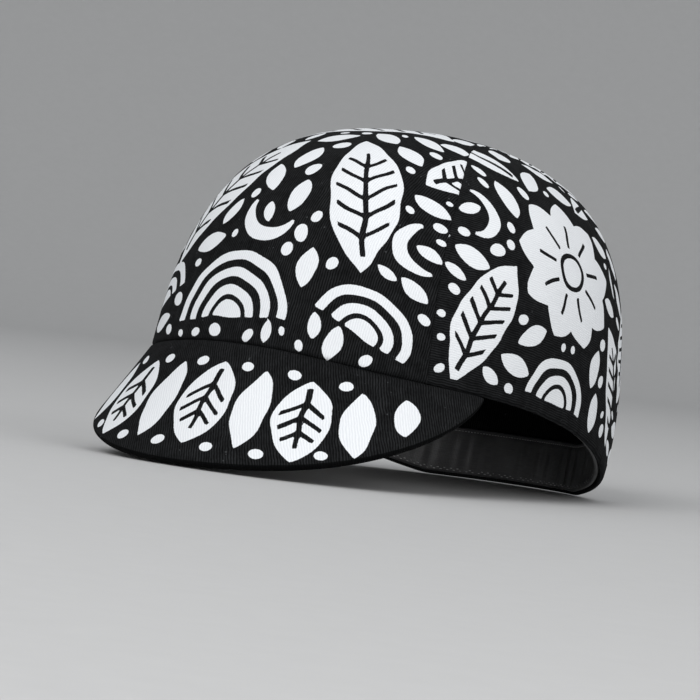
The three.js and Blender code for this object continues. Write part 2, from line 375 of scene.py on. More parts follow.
def withFillers(design, across, along, bare):
    # Adds pebbles and petals in the bare places, the barest first and clear of the panel's borders. They are
    # tried on a square grid, jittered by sines
    pitch, jitter, gap = fillers["tryPitch"], fillers["jitter"], fillers["gap"]
    tryAcross = np.arange(across.min(), across.max(), pitch)
    tryAlong = np.arange(fillers["tryFrom"], along.max(), pitch)
    a, l = np.meshgrid(tryAcross, tryAlong)
    a, l = (a + jitter * np.sin(l * 1.7 + a)).ravel(), (l + jitter * np.sin(a * 2.3 - l)).ravel()
    cloth = np.stack([across, along], -1)
    border = np.concatenate([cloth[0], cloth[-1], cloth[:, 0], cloth[:, -1]])[::3]
    toBorder = np.hypot(a[:, None] - border[:, 0], l[:, None] - border[:, 1]).min(axis=1)
    free = np.minimum(toBorder + gap - fillers["borderGap"], l - bare + gap)
    free = np.minimum(free, printDistance(design, a, l))
    filled = {**design, pebble: [], petal: []}
    while free.max() - gap > fillers["smallest"]:
        i = int(np.argmax(free))
        size = min(free[i] - gap, fillers["largest"])
        turn = 40 + 70 * math.sin(a[i] / 17 + l[i] / 29)
        shape, (length, width) = pebble, fillers["pebbleSizes"]
        if size > fillers["petalsFrom"]:
            shape, (length, width) = petal, fillers["petalSizes"]
        row = (a[i], l[i], turn, size * length, size * width)
        filled[shape].append(row)
        free = np.minimum(free, printDistance({shape: [row]}, a, l))
    return filled


print("cap: shape functions ready")

# Prints: for each kind of shape, rows of place across, place along, turn in degrees and its own sizes
centrePrint = {
    sunrise: [
        (-8, 9, 4, 27, 3),
        (45, 12, -20, 21, 2),
        (-56, 18, 16, 20, 2),
        (20, 296, 176, 27, 3),
        (-40, 318, 160, 20, 2),
    ],
    leaf: [
        (24, 67, 116, 70, 27, -4),
        (-34, 66, 58, 72, 27, 4),
        (-4, 122, 20, 70, 27, 5),
        (48, 112, 78, 52, 21, -3),
        (-30, 176, 108, 64, 26, 4),
        (34, 190, 60, 66, 26, -4),
        (-6, 240, 150, 66, 26, 4),
        (40, 252, 96, 52, 21, 3),
        (-46, 268, 66, 60, 24, 3),
        (-86, 304, 118, 50, 20, 3),
        (78, 292, 62, 54, 21, -3),
    ],
    crescent: [
        (-3, 51, 70, 12, 5),
        (57, 57, 30, 12, 5),
        (0, 154, 210, 12, 5),
        (-54, 141, 330, 12, 5),
        (2, 208, 30, 12, 5),
    ],
    sprig: [(-58, 106, 84, 34, 4), (62, 160, 100, 34, 4)],
}
leftPrint = {
    flower: [(2, 62, 12, 31, 9)],
    leaf: [
        (-41, 29, 68, 56, 22, 3),
        (46, 27, 116, 50, 20, -3),
        (-30, 104, 150, 30, 12, -2),
        (31, 102, 28, 32, 13, 2),
    ],
    sunrise: [(1, 6.5, 0, 20, 2)],
    crescent: [(-46, 72, 170, 10, 4), (47, 72, 10, 9, 4)],
}
rightPrint = {
    flower: [(-12, 58, 40, 29, 8)],
    leaf: [(36, 35, 60, 58, 22, 3), (-50, 21, 70, 40, 16, 3), (22, 98, 24, 36, 14, 2)],
    sunrise: [(-6, 6.5, 0, 18, 2)],
    crescent: [(46, 76, 10, 9, 4), (-38, 94, 200, 9, 4)],
}


def mirrored(*rows):
    # The rows of unbent shapes and their mirror images across the middle
    return [*rows, *((-row[0], row[1], (180 - row[2]) % 180, *row[3:]) for row in rows)]


peakPrint = {
    leaf: [(0, 26.5, 90, 36, 21, 0), *mirrored((37.5, 26.5, 82, 34, 20, 0))],
    petal: mirrored((19, 26.5, 86, 34, 12.5), (56, 23.5, 78, 28, 12), (71, 16.5, 72, 17, 9)),
    pebble: mirrored(
        (10, 9, 0, 5, 4),
        (28, 9, 0, 5, 4),
        (47, 9, 0, 5, 4),
        (10, 44, 0, 5, 4),
        (28, 43.5, 0, 5, 4),
        (48, 39, 0, 4.6, 3.8),
    ),
}
bareHem = 4.0  # mm, the unprinted strip along the hem of the side panels
printReach = 4.0  # mm, the largest print distance that is kept


class Val:
    # A socket's value; an expression on it adds its Math nodes
    def __init__(self, tree, socket):
        self.tree, self.socket = tree, socket

    def maths(self, operation, *values):
        # One Math node; a value is a number or another Val
        node = self.tree.nodes.new("ShaderNodeMath")
        node.operation = operation
        for socket, value in zip(node.inputs, values):
            if isinstance(value, Val):
                self.tree.links.new(value.socket, socket)
            else:
                socket.default_value = value
        return Val(self.tree, node.outputs[0])

    def __add__(self, other):
        return self.maths("ADD", self, other)

    def __sub__(self, other):
        return self.maths("SUBTRACT", self, other)

    def __rsub__(self, other):
        return self.maths("SUBTRACT", other, self)

    def __mul__(self, other):
        return self.maths("MULTIPLY", self, other)

    __radd__ = __add__
    __rmul__ = __mul__

    def sine(self):
        return self.maths("SINE", self)

    def atMost(self, other):
        return self.maths("MINIMUM", self, other)

    def atLeast(self, other):
        return self.maths("MAXIMUM", self, other)


class Finish:
    # A material: node() adds any node, settings first, then the values or links of its sockets
    def __init__(self, name, **constants):
        self.material = bpy.data.materials.new(name)
        self.material.use_nodes = True
        self.tree = self.material.node_tree
        self.shader = self.tree.nodes["Principled BSDF"]
        for socket, value in constants.items():
            self.shader.inputs[socket.replace("_", " ")].default_value = value

    def node(self, kind, settings=None, sockets=None, output=0):
        node = self.tree.nodes.new(kind)
        for name, value in (settings or {}).items():
            setattr(node, name, value)
        for name, value in (sockets or {}).items():
            if isinstance(value, Val):
                self.tree.links.new(value.socket, node.inputs[name])
            else:
                node.inputs[name].default_value = value
        return Val(self.tree, node.outputs[output])

    def feed(self, socket, value):
        # Links a value to a socket of the shader
        self.tree.links.new(value.socket, self.shader.inputs[socket])

    def place(self):
        return self.node("ShaderNodeTexCoord", output="Object")

    def noise(self, scale, detail=3.0, vector=None):
        # From 0 to 1, about 0.5 on average
        sockets = {"Vector": vector or self.place(), "Scale": scale, "Detail": detail}
        return self.node("ShaderNodeTexNoise", {}, sockets, output="Fac")

    def between(self, factor, first, second):
        # A colour that goes from the first to the second with the factor
        sockets = {0: factor, 6: first, 7: second}
        return self.node("ShaderNodeMix", {"data_type": "RGBA"}, sockets, output=2)

    def ramp(self, value, low, high):
        # 0 up to the low value and 1 from the high one, with a smooth step between
        sockets = {"Value": value, "From Min": low, "From Max": high}
        return self.node("ShaderNodeMapRange", {"interpolation_type": "SMOOTHSTEP"}, sockets)

    def clothPlace(self):
        # Across, along and print distance, all in millimetres
        vector = self.node("ShaderNodeAttribute", {"attribute_name": "cloth"}, output="Vector")
        parts = self.node("ShaderNodeSeparateXYZ", {}, {"Vector": vector}).socket.node
        return [Val(self.tree, socket) for socket in parts.outputs]

    def bump(self, height, distance):
        # Relief that changes the way the surface faces; the distance is its height in metres
        sockets = {"Height": height, "Distance": distance, "Strength": 1.0}
        self.feed("Normal", self.node("ShaderNodeBump", {}, sockets, output="Normal"))


cotton = {
    "black": (0.0004, 0.0005, 0.0006, 1),
    "blackHigh": (0.0240, 0.0250, 0.0265, 1),
    "white": (0.86, 0.88, 0.90, 1),
    "whiteLow": (0.64, 0.66, 0.69, 1),
    "lint": (0.10, 0.105, 0.11, 1),
    "ribPitch": 0.92,  # mm
    "yarnPitch": 0.52,
    "unprinted": 4.4,  # print distance on the inside faces
    "rimShadeDistance": 9.0,  # print distance that marks the peak's rim for painted shade, where the black cloth is darkened to stand in for the shade under the rim
    "relief": 0.00012,  # metres
}


def printedCotton(name, ribsAlong, lean=0.0):
    # Ribbed cotton with a white print whose edge is where the print distance passes zero; lean turns the ribs
    finish = Finish(name, Specular_IOR_Level=0.06)
    across, along, distance = finish.clothPlace()
    ribs, yarns = (across, along) if ribsAlong else (along, across)
    if lean:
        ribs = across * math.cos(lean) - along * math.sin(lean)
        yarns = along * math.cos(lean) + across * math.sin(lean)
    drift = (finish.noise(70.0, 2.0) - 0.5) * 1.4 + (finish.noise(300.0, 1.0) - 0.5) * 0.8
    rib = ((ribs + drift) * (2 * math.pi / cotton["ribPitch"])).sine() * 0.5 + 0.5
    yarn = ((yarns + drift * 0.6) * (2 * math.pi / cotton["yarnPitch"])).sine() * 0.5 + 0.5
    mottle = finish.noise(900.0, 4.0)
    weave = (rib * 0.62 + yarn * 0.18 + mottle * 0.35).atMost(1.0)
    worn = finish.noise(260.0, 2.0) * 1.5
    ridge = (rib * worn + 0.12 + (mottle - 0.5) * 0.7).atLeast(0.0)
    ragged = distance + (finish.noise(1400.0, 2.0) - 0.5) * 0.34
    ink = 1 - finish.ramp(ragged, -0.1, 0.1)
    cloud = finish.noise(38.0, 3.0)
    lint = finish.ramp(finish.noise(620.0, 1.0), 0.765, 0.79)
    # Painted shade: where the print distance passes 5 mm, as it does only on the peak's rim, the black
    # cloth's lighter ridges are dimmed to a tenth
    rimShadeFactor = 1 - finish.ramp(distance, 5.0, 8.0) * 0.9
    black = finish.between(ridge * rimShadeFactor * (cloud * 0.5 + 0.45), cotton["black"], cotton["blackHigh"])
    black = finish.between(lint * 0.4, black, cotton["lint"])
    white = finish.between((weave * 0.75 + cloud * 0.35).atMost(1.0), cotton["whiteLow"], cotton["white"])
    finish.feed("Base Color", finish.between(ink, black, white))
    finish.feed("Roughness", 0.86 - ink * 0.26)
    finish.bump((rib * 0.6 + yarn * 0.2 + mottle * 0.3) * (1 - ink * 0.42) + ink * 0.35, cotton["relief"])
    return finish.material


satinCloth = {
    "black": (0.020, 0.020, 0.021, 1),
    "blackHigh": (0.17, 0.17, 0.175, 1),
    "pitchAlong": 0.7,  # mm
    "pitchUp": 0.5,
    "relief": 0.00009,
}


def satin(name):
    # Black band with fine lengthwise threads, from noise that is stretched along it, and a soft shine
    finish = Finish(name, Sheen_Weight=0.1, Sheen_Roughness=0.3, Specular_IOR_Level=0.5)
    along, up, _ = finish.clothPlace()
    lengthwise = {"X": along * 0.02, "Y": up * 0.6, "Z": 0.0}
    threads = finish.noise(9.0, 4.0, finish.node("ShaderNodeCombineXYZ", {}, lengthwise, output="Vector"))
    cloud = finish.noise(55.0, 3.0)
    black = finish.between(threads * cloud * 1.6, satinCloth["black"], satinCloth["blackHigh"])
    finish.feed("Base Color", black)
    finish.feed("Roughness", 0.34 + threads * 0.16)
    crossing = (along * (2 * math.pi / satinCloth["pitchAlong"])).sine()
    weave = ((up * (2 * math.pi / satinCloth["pitchUp"])).sine() + crossing) * 0.25 + 0.5
    finish.bump(weave * 0.5 + threads * 0.7, satinCloth["relief"])
    return finish.material


greyThread = {
    "dark": (0.26, 0.26, 0.262, 1),
    "light": (0.62, 0.62, 0.63, 1),
    "grainScale": 2500.0,
    "relief": 0.0001,
}


def threadFinish(name):
    # Matt grey thread with a grain of noise
    finish = Finish(name, Sheen_Weight=0.2, Specular_IOR_Level=0.3)
    grain = finish.noise(greyThread["grainScale"], 3.0)
    finish.feed("Base Color", finish.between(grain, greyThread["dark"], greyThread["light"]))
    finish.feed("Roughness", 0.62 + grain * 0.2)
    finish.bump(grain, greyThread["relief"])
    return finish.material


palePaper = {"dark": (0.50, 0.50, 0.50, 1), "light": (0.53, 0.53, 0.53, 1), "grainScale": 90.0}


def floorFinish(name):
    # Pale matt paper with a faint grain of noise
    finish = Finish(name, Specular_IOR_Level=0.2)
    grain = finish.noise(palePaper["grainScale"], 4.0)
    finish.feed("Base Color", finish.between(grain, palePaper["dark"], palePaper["light"]))
    finish.feed("Roughness", 0.82 + grain * 0.1)
    return finish.material


crownCloth = {
    "coarseLengths": 57,
    "coarseAcross": 25,
    "centreSteps": (361, 189),  # along the panel, across it
    "sideSteps": (141, 341),  # seam to hem, forehead to nape
    "creaseRadius": 0.85,
    "hemRadius": 1.7,
    "hemInnerRadius": 0.7,
    "hemFold": 0.55,  # how far the folded edge stands in towards the band
    "calmHem": 12,  # over which the swells fade in from the hem
    "wideSwell": 0.28,
    "narrowSwell": 0.1,
    "pucker": 0.16,
    "puckerPitch": 8.5,
    "puckerPlace": 2.2,  # from the seam
    "puckerWidth": 3.4,
    "allowance": 5.0,  # turned cloth inside each seam
    "allowanceDepth": 0.7,
    "crowding": 1.25,  # of the centre panel's coarse lines towards its seams, as an angle
    "sideMiddle": -8,  # y of the side panels' middle line
}


def softness(points):
    # Slow swells of the cloth, as a sum of sines of the place, so that they run on from panel to panel
    x, y, z = (points[..., i] for i in range(3))
    wide = np.sin(x / 17 + 1.3 * np.sin(z / 23)) * np.sin(y / 21 - z / 34 + 0.7)
    narrow = np.sin(x / 7.5 - y / 11 + 2.1) * np.sin(z / 8.5 + x / 19 + 0.4)
    return crownCloth["wideSwell"] * wide + crownCloth["narrowSwell"] * narrow


def rolledIn(distance, radius):
    # How far a surface lies below its level where it turns over a quarter circle at an edge
    into = np.clip(1 - distance / radius, 0, 1)
    return radius * (1 - np.sqrt(np.maximum(0, 1 - into ** 2)))


def clothShell(points, seamDistance, hemDistance, along):
    # The outer and inner faces: creased at the seams, puckered beside them and turned in at the hem
    normal = gridNormals(points)
    beside = (seamDistance - crownCloth["puckerPlace"]) / crownCloth["puckerWidth"]
    puckers = crownCloth["pucker"] * np.exp(-beside ** 2)
    ripple = np.sin(along * 2 * np.pi / crownCloth["puckerPitch"] + 1.6 * np.sin(along / 13))
    level = softness(points) * np.clip(hemDistance / crownCloth["calmHem"], 0, 1) + puckers * ripple
    crease = np.minimum(rolledIn(seamDistance, crownCloth["creaseRadius"]), cap["wall"] * 0.5)
    turned = np.minimum(rolledIn(hemDistance, crownCloth["hemRadius"]), cap["wall"] * 0.75)
    outer = points + normal * (level - np.maximum(crease, turned))[..., None]
    folded = crownCloth["allowanceDepth"] * np.clip((crownCloth["allowance"] - seamDistance) / 0.8, 0, 1)
    folded = folded * np.clip(hemDistance / 6 - 1, 0, 1) * np.clip(seamDistance / 0.8, 0, 1)
    folded = folded + crownCloth["hemFold"] * np.clip(1.4 - hemDistance / 4, 0, 1)
    depth = cap["wall"] + folded - rolledIn(hemDistance, crownCloth["hemInnerRadius"])
    inner = points + normal * (np.minimum(level, 0.2) - depth)[..., None]
    return outer, inner


def centrePanel():
    # Between the two seams: half planes through the arch's foot line carry each line across the crown
    lengths, acrossCount = crownCloth["coarseLengths"], crownCloth["coarseAcross"]
    share = np.linspace(0, 1, lengths)
    seamX, seamY, seamHeight = seamPoint(share, -seam["overlap"])
    middle = (seam["backReach"] - seam["frontReach"]) / 2
    size = np.hypot(seamY - middle, seamHeight)
    outY, outZ = ((seamY - middle) / size)[:, None], (seamHeight / size)[:, None]
    crowding = crownCloth["crowding"]
    across = np.sin(np.linspace(1, -1, acrossCount) * crowding) / np.sin(crowding)
    x = across[None] * seamX[:, None]
    limit = np.full_like(x, cap["hemFrontReach"] + cap["hemBackReach"])
    reach = lastThatHolds(limit, lambda value: insideCrown(x, middle + outY * value, outZ * value))
    angle, climb, _ = crownPlace(x, middle + outY * reach)
    climb[[0, -1]] = 0
    coarse = crownPoint(angle, climb)

    lengthSteps, acrossSteps = crownCloth["centreSteps"]
    strips, _, _ = resampled(coarse, lengthSteps)
    points, wanted, total = resampled(strips.transpose(1, 0, 2), acrossSteps)
    acrossPlace = total / 2 - wanted
    middleRow = points[points.shape[0] // 2]
    alongPlace = np.broadcast_to(arcLengths(middleRow[:, None])[:, 0][None], acrossPlace.shape)
    seamDistance = np.minimum(wanted, total - wanted)
    hemDistance = np.minimum(alongPlace, alongPlace.max() - alongPlace)
    outer, inner = clothShell(points, seamDistance, hemDistance, alongPlace)
    return outer, inner, acrossPlace, alongPlace


def sidePanel(side):
    # From the arch down to the hem; x is found on the crown for each place in the side view
    columns = crownCloth["coarseLengths"]
    share = np.linspace(0, 1, columns)[::-1] if side > 0 else np.linspace(0, 1, columns)
    _, seamY, seamHeight = seamPoint(share, seam["overlap"])
    down = np.linspace(0, 1, crownCloth["coarseAcross"])[:, None]
    feet = seamY[share == 0][0] + (seamY[share == 1][0] - seamY[share == 0][0]) * share
    y = seamY * (1 - down) + feet * down
    height = seamHeight * (1 - down)
    x = lastThatHolds(np.full_like(y, cap["hemHalfWidth"]), lambda value: insideCrown(value, y, height))
    angle, climb, _ = crownPlace(side * x, y)
    climb[-1] = 0
    climb[:, [0, -1]] = 0
    coarse = crownPoint(angle, climb)

    rowSteps, columnSteps = crownCloth["sideSteps"]
    places = np.linspace(0, columns - 1, columnSteps)[:, None]
    data = np.concatenate([coarse, np.stack([y, height], -1)], -1)
    fine = splined(data.transpose(1, 0, 2), np.repeat(places, data.shape[0], 1)).transpose(1, 0, 2)
    lengths = arcLengths(fine[..., :3])
    wanted = edgeSpacing(np.maximum(lengths[-1], 1e-3), rowSteps)
    stations = np.empty_like(wanted)
    for column in range(columnSteps):
        stations[:, column] = np.interp(wanted[:, column], lengths[:, column], np.arange(len(lengths)))
    grid = splined(fine, stations)
    points = grid[..., :3]

    middle, tableSteps = crownCloth["sideMiddle"], working["tableSteps"]
    alongHem = np.linspace(-seam["frontReach"] - 6, seam["backReach"] + 6, tableSteps)
    hemX = np.interp(alongHem, *sideOutline())
    acrossTable = np.concatenate([[0], np.cumsum(np.hypot(np.diff(alongHem), np.diff(hemX)))])
    acrossTable = acrossTable - np.interp(middle, alongHem, acrossTable)
    acrossPlace = np.interp(grid[..., 3], alongHem, acrossTable)
    riseTable = np.linspace(0, cap["crownHeight"] - seam["topDepth"], tableSteps)
    limit = np.full_like(riseTable, cap["hemHalfWidth"])
    riseX = lastThatHolds(limit, lambda value: insideCrown(value, 0 * riseTable + middle, riseTable))
    upTable = np.concatenate([[0], np.cumsum(np.hypot(np.diff(riseTable), np.diff(riseX)))])
    alongPlace = np.interp(grid[..., 4], riseTable, upTable)
    hemDistance = lengths[-1] - wanted
    nearEnd = np.minimum(np.arange(columnSteps), np.arange(columnSteps)[::-1])
    seamDistance = np.minimum(wanted, nearEnd[None] * 0.8 + wanted * 0.2)
    outer, inner = clothShell(points, seamDistance, hemDistance, acrossPlace)
    return outer, inner, acrossPlace, alongPlace


def sideOutline():
    # The hem's outline on one side, as x over y
    x, y = hemOutline(np.linspace(0.4, 2.6, 400))
    return y, x


def makePanel(name, node, panel, design, material, bare=0.0):
    # One panel with its print, which keeps off a bare strip along the hem
    outer, inner, across, along = panel
    print("cap:", name, "print")
    distance = printDistance(withFillers(design, across, along, bare), across, along)
    distance = np.clip(np.maximum(distance, bare - along), -printReach, printReach)
    outside = np.stack([across, along, distance], -1)
    inside = np.stack([across, along, np.full_like(distance, cotton["unprinted"])], -1)[::2, ::2]
    points, faces = closedWall(toRest(outer), toRest(inner[::2, ::2]))
    cloth = np.concatenate([outside.reshape(-1, 3), inside.reshape(-1, 3)])
    piece = meshPiece(name, points, faces, material, cloth)
    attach(piece, "root")
    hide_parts(node)
    print("cap:", name, len(piece.data.vertices), "vertices")


uprightCotton = printedCotton("ribbed cotton, upright", True)
levelCotton = printedCotton("ribbed cotton, level", False)
makePanel("centrePanelCloth", "crown_centre_panel", centrePanel(), centrePrint, uprightCotton)
makePanel("leftPanelCloth", "crown_left_panel", sidePanel(1), leftPrint, levelCotton, bareHem)
makePanel("rightPanelCloth", "crown_right_panel", sidePanel(-1), rightPrint, levelCotton, bareHem)

peakCloth = {
    "length": 52.0,
    "thickness": 3.2,
    "seamAngle": math.radians(64.8),
    "droop": math.radians(68.7),
    "endDroop": math.radians(58.1),
    "endFlare": math.radians(28),
    "cornerFullness": 2.0,
    "tipFullness": 1.69,
    "steps": (321, 85),  # along the seam, seam to rim
    "rimCrowding": 1.75,  # power that brings the rows together towards the rim
    "thinCorner": 9.0,  # reach under which the corners get thinner
    "leastThick": 0.12,  # share of the thickness, before its root is taken
    "crease": 0.9,
    "creaseDepth": 0.7,
    "hiddenDrop": 0.85,  # per millimetre behind the hem
    "sag": 0.25,
    "lip": 1.9,  # how far in from the rim its rounding starts
    "squareness": 3.6,
    "rimShadeWidth": 0.9,  # width of the painted shade along the rim, measured from the rim
    "seamRows": (-0.9, -0.5, -0.1, 0.25, 0.6, 0.9),  # reach of the first rows, which start behind the hem
    "ribLean": math.radians(23),
}


def peakPoint(across, reach):
    # A straight line out of the hem's arch. Its droop changes with the square of the place, its turn evenly
    footX, footY = hemOutline(across * peakCloth["seamAngle"])
    droop = peakCloth["droop"] + (peakCloth["endDroop"] - peakCloth["droop"]) * across ** 2
    turn = peakCloth["endFlare"] * across
    x = footX + reach * np.cos(droop) * np.sin(turn)
    y = footY - reach * np.cos(droop) * np.cos(turn)
    return np.stack([x, y, hemArch(footX, footY) - reach * np.sin(droop)], -1)


def seamLength(across):
    # Running length of the seam from its middle
    table = np.linspace(0, 1, working["tableSteps"])
    x, y = hemOutline(table * peakCloth["seamAngle"])
    lengths = np.concatenate([[0], np.cumsum(np.hypot(np.diff(x), np.diff(y)))])
    return np.sign(across) * np.interp(np.abs(across), table, lengths)


def makePeak(material):
    # A padded sheet: two faces either side of a middle one, which meet in a round rim
    lengthSteps, reachSteps = peakCloth["steps"]
    across = np.sin(np.linspace(np.pi / 2, -np.pi / 2, lengthSteps))[None]
    full = np.maximum(1 - np.abs(across) ** peakCloth["cornerFullness"], 0) ** (1 / peakCloth["tipFullness"])
    half = peakCloth["thickness"] / 2
    toRim = 1 - np.linspace(1, 0, reachSteps)[1:, None] ** peakCloth["rimCrowding"]
    nearSeam = np.array(peakCloth["seamRows"])[:, None]
    nearSeam = np.where(nearSeam > 0, nearSeam * np.clip(peakCloth["length"] * full / 1.8, 0, 1), nearSeam)
    reach = np.concatenate([nearSeam, nearSeam[-1:] + (peakCloth["length"] * full - nearSeam[-1:]) * toRim])
    upper = peakPoint(np.broadcast_to(across, reach.shape), reach)
    normal = gridNormals(upper)
    normal = normal * np.sign(-normal[..., 1:2] + 1e-9)
    away = upper[-1] - upper[-2]
    tangent = np.gradient(upper[-1], axis=0)
    tangent = tangent / np.maximum(np.linalg.norm(tangent, axis=-1, keepdims=True), 1e-9)
    away = away / np.maximum(np.linalg.norm(away, axis=-1, keepdims=True), 1e-9)
    square = np.sqrt(np.maximum(0.02, 1 - np.sum(away * tangent, -1) ** 2))
    rimDistance = (peakCloth["length"] * full - reach) * square
    thin = np.clip(peakCloth["length"] * full / peakCloth["thinCorner"], peakCloth["leastThick"], 1) ** 0.5
    squareness = peakCloth["squareness"]
    into = np.clip(1 - rimDistance / peakCloth["lip"], 0, 1)
    profile = np.maximum(0, 1 - into ** squareness) ** (1 / squareness)
    middle = upper - normal * half
    tuck = rolledIn(np.maximum(reach, 0), peakCloth["crease"]) * peakCloth["creaseDepth"]
    tuck = tuck + np.maximum(-reach, 0) * peakCloth["hiddenDrop"]
    swell = peakCloth["sag"] * np.sin(upper[..., 0] / 14 + 0.6) * np.clip(reach / 20, 0, 1)
    outer = middle + normal * (half * profile * thin - tuck + swell)[..., None]
    inner = middle - normal * (half * profile * thin - swell)[..., None]
    acrossPlace = np.broadcast_to(seamLength(across), reach.shape)
    distance = np.clip(printDistance(peakPrint, acrossPlace, reach), -printReach, printReach)
    # Painted shade: on both faces, the cloth within that width of the rim gets the darkened black, standing
    # in for the shade under the rim
    rimShaded = rimDistance < peakCloth["rimShadeWidth"]
    outside = np.stack([acrossPlace, reach, np.where(rimShaded, cotton["rimShadeDistance"], distance)], -1)
    plain = np.where(rimShaded, cotton["rimShadeDistance"], cotton["unprinted"])
    inside = np.stack([acrossPlace, reach, plain], -1)
    points, faces = closedWall(toRest(outer), toRest(inner))
    cloth = np.concatenate([outside.reshape(-1, 3), inside.reshape(-1, 3)])
    piece = meshPiece("peakCloth", points, faces, material, cloth)
    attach(piece, "root")
    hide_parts("peak")
    print("cap: peak", len(piece.data.vertices), "vertices")


makePeak(printedCotton("ribbed cotton, peak", True, peakCloth["ribLean"]))

band = {
    "height": 20.0,
    "wall": 1.8,
    "clearance": 0.6,
    "lean": 1.8,
    "steps": (640, 26),
    "gather": 0.3,
    "gathers": (61, 97),  # round the band, of the wide and the narrow ones
    "recess": 0.9,  # of its lower edge, over the crown's folded hem
    "edgeRadius": 0.85,
    "seamDip": 0.28,  # where the upper stitches draw the satin in
    "meanRadius": 85,
    "girth": 545,
    "stitchPitch": 1.5,
    "stitchLength": 1.0,
    "stitchRadius": 0.17,
    "stitchSteps": (6, 5),  # round a stitch, along it
    "stitchDepth": 1.5,  # below the free top edge
    "lowStitches": 1.3,  # above the lower edge
    "zigzag": 0.35,  # of the lower row
    "angleStep": 1e-3,  # between the places that give a direction
}


def bandPoint(angle, height, inset):
    # The inside of the crown at a height over the hem, moved in and leaned in towards the free edge
    fullness = crownFullness(angle)
    climb = np.arcsin((np.maximum(height, 0) / cap["crownHeight"]) ** (fullness / 2))
    point = crownPoint(angle, climb)
    step = band["angleStep"]
    up = crownPoint(angle, climb + step) - crownPoint(angle, np.maximum(climb - step, 0))
    along = crownPoint(angle + step, climb) - crownPoint(angle - step, climb)
    normal = np.cross(along, up)
    normal = normal / np.linalg.norm(normal, axis=-1, keepdims=True)
    inward = inset + band["lean"] * height / band["height"]
    return point - normal * inward[..., None], normal


def makeBand(material):
    # A closed loop of section: up the outer face, over the folded edge and down the satin face
    around, levels = band["steps"]
    angle = np.linspace(0, -2 * np.pi, around, endpoint=False)[None]
    upwards = (0.5 - 0.5 * np.cos(np.linspace(np.pi, 0, levels)))[:, None]
    height = band["recess"] + (band["height"] - band["recess"]) * upwards
    angles = np.broadcast_to(angle, (levels, around))
    heights = np.broadcast_to(height, (levels, around))
    edge = np.minimum(heights - band["recess"], band["height"] - heights)
    rounded = rolledIn(edge, band["edgeRadius"])
    behind = (0.5 - 0.5 * np.cos(angles)) ** 1.5
    wide, narrow = band["gathers"]
    folds = np.sin(angles * wide + 1.7 * np.sin(angles * 9)) + 0.6 * np.sin(angles * narrow + 2)
    pull = np.sin(np.pi * heights / band["height"]) * band["gather"] * (0.25 + 0.75 * behind) * folds
    seamDip = band["seamDip"] * np.exp(-((heights - band["height"] + band["stitchDepth"]) / 0.8) ** 2)
    outerInset = cap["wall"] + band["clearance"] + rounded
    innerInset = cap["wall"] + band["clearance"] + band["wall"] - rounded + pull * 0.8 - seamDip
    outer, _ = bandPoint(angles, heights, outerInset)
    inner, _ = bandPoint(angles, heights, innerInset)
    alongBand = np.broadcast_to(-angle * band["meanRadius"], heights.shape)
    cloth = np.stack([alongBand, heights, np.full_like(heights, farAway)], -1)
    points, faces = closedWall(toRest(outer), toRest(inner), roundWall=True)
    piece = meshPiece("sweatbandSatin", points, faces, material, np.concatenate([cloth.reshape(-1, 3)] * 2))
    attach(piece, "root")
    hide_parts("sweatband")
    print("cap: sweatband", len(piece.data.vertices), "vertices")


def makeStitches(material):
    # One short thread, whose radius is a power of a sine along it, carried to each place along two lines
    count = int(band["girth"] / band["stitchPitch"])
    rows = [(band["height"] - band["stitchDepth"], 0), (band["recess"] + band["lowStitches"], band["zigzag"])]
    turns, rings = band["stitchSteps"]
    ring = np.linspace(0, np.pi, rings)
    spin = np.linspace(0, 2 * np.pi, turns, endpoint=False)
    unit = np.stack([
        np.repeat(-np.cos(ring), turns) * band["stitchLength"] / 2,
        (np.sin(ring)[:, None] ** 0.6 * np.cos(spin)).ravel() * band["stitchRadius"],
        (np.sin(ring)[:, None] ** 0.6 * np.sin(spin)).ravel() * band["stitchRadius"],
    ], -1)
    index = np.arange(rings * turns).reshape(rings, turns)
    beside = np.roll(index, -1, axis=1)
    unitQuads = np.stack([index[:-1], beside[:-1], beside[1:], index[1:]], -1).reshape(-1, 4)
    place = np.linspace(0, 2 * np.pi, count, endpoint=False)
    inset = cap["wall"] + band["clearance"] + band["wall"] - 0.05
    allPoints, allQuads = [], []
    for level, zigzag in rows:
        levels = level + zigzag * np.cos(np.pi * np.arange(count))
        here, normal = bandPoint(place, levels, inset)
        ahead = bandPoint(place + band["angleStep"], levels, inset)[0] - here
        ahead = ahead / np.linalg.norm(ahead, axis=-1, keepdims=True)
        third = np.cross(ahead, normal)
        moved = here[:, None] + unit[None, :, :1] * ahead[:, None] + unit[None, :, 1:2] * normal[:, None]
        moved = moved + unit[None, :, 2:] * third[:, None]
        start = sum(len(p) for p in allPoints)
        allPoints.append(toRest(moved).reshape(-1, 3))
        offsets = (np.arange(count) * len(unit))[:, None, None] + start
        allQuads.append((unitQuads[None] + offsets).reshape(-1, 4))
    stitchQuads = np.concatenate(allQuads).tolist()
    threads = meshPiece("sweatbandStitches", np.concatenate(allPoints), stitchQuads, material)
    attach(threads, "root")
    print("cap:", count * len(rows), "stitches")


makeBand(satin("black satin"))
makeStitches(threadFinish("grey thread"))

stage = {  # metres and watts
    "floorRadius": 2.6,
    "wallRadius": 4.6,
    "wallHeight": 3.2,
    "steps": (160, 24, 40),  # round the floor, along its flat part, up its turn
    "hubRadius": 0.02,
    "worldColour": (0.96, 0.98, 1, 1),
    "worldStrength": 0.6,
    "lightsAim": (0, 0, 0.06),
    "lights": [  # name, azimuth and elevation in degrees, distance, size, power
        ("keyLight", 6, 36, 2.6, 1.8, 35.5),
        ("fillLight", 84, 16, 2.8, 2.4, 22.0),
        ("lowLight", 54, 2.5, 1.5, 0.35, 3.4),
        ("topLight", 170, 62, 2.4, 2.0, 6.0),
    ],
}


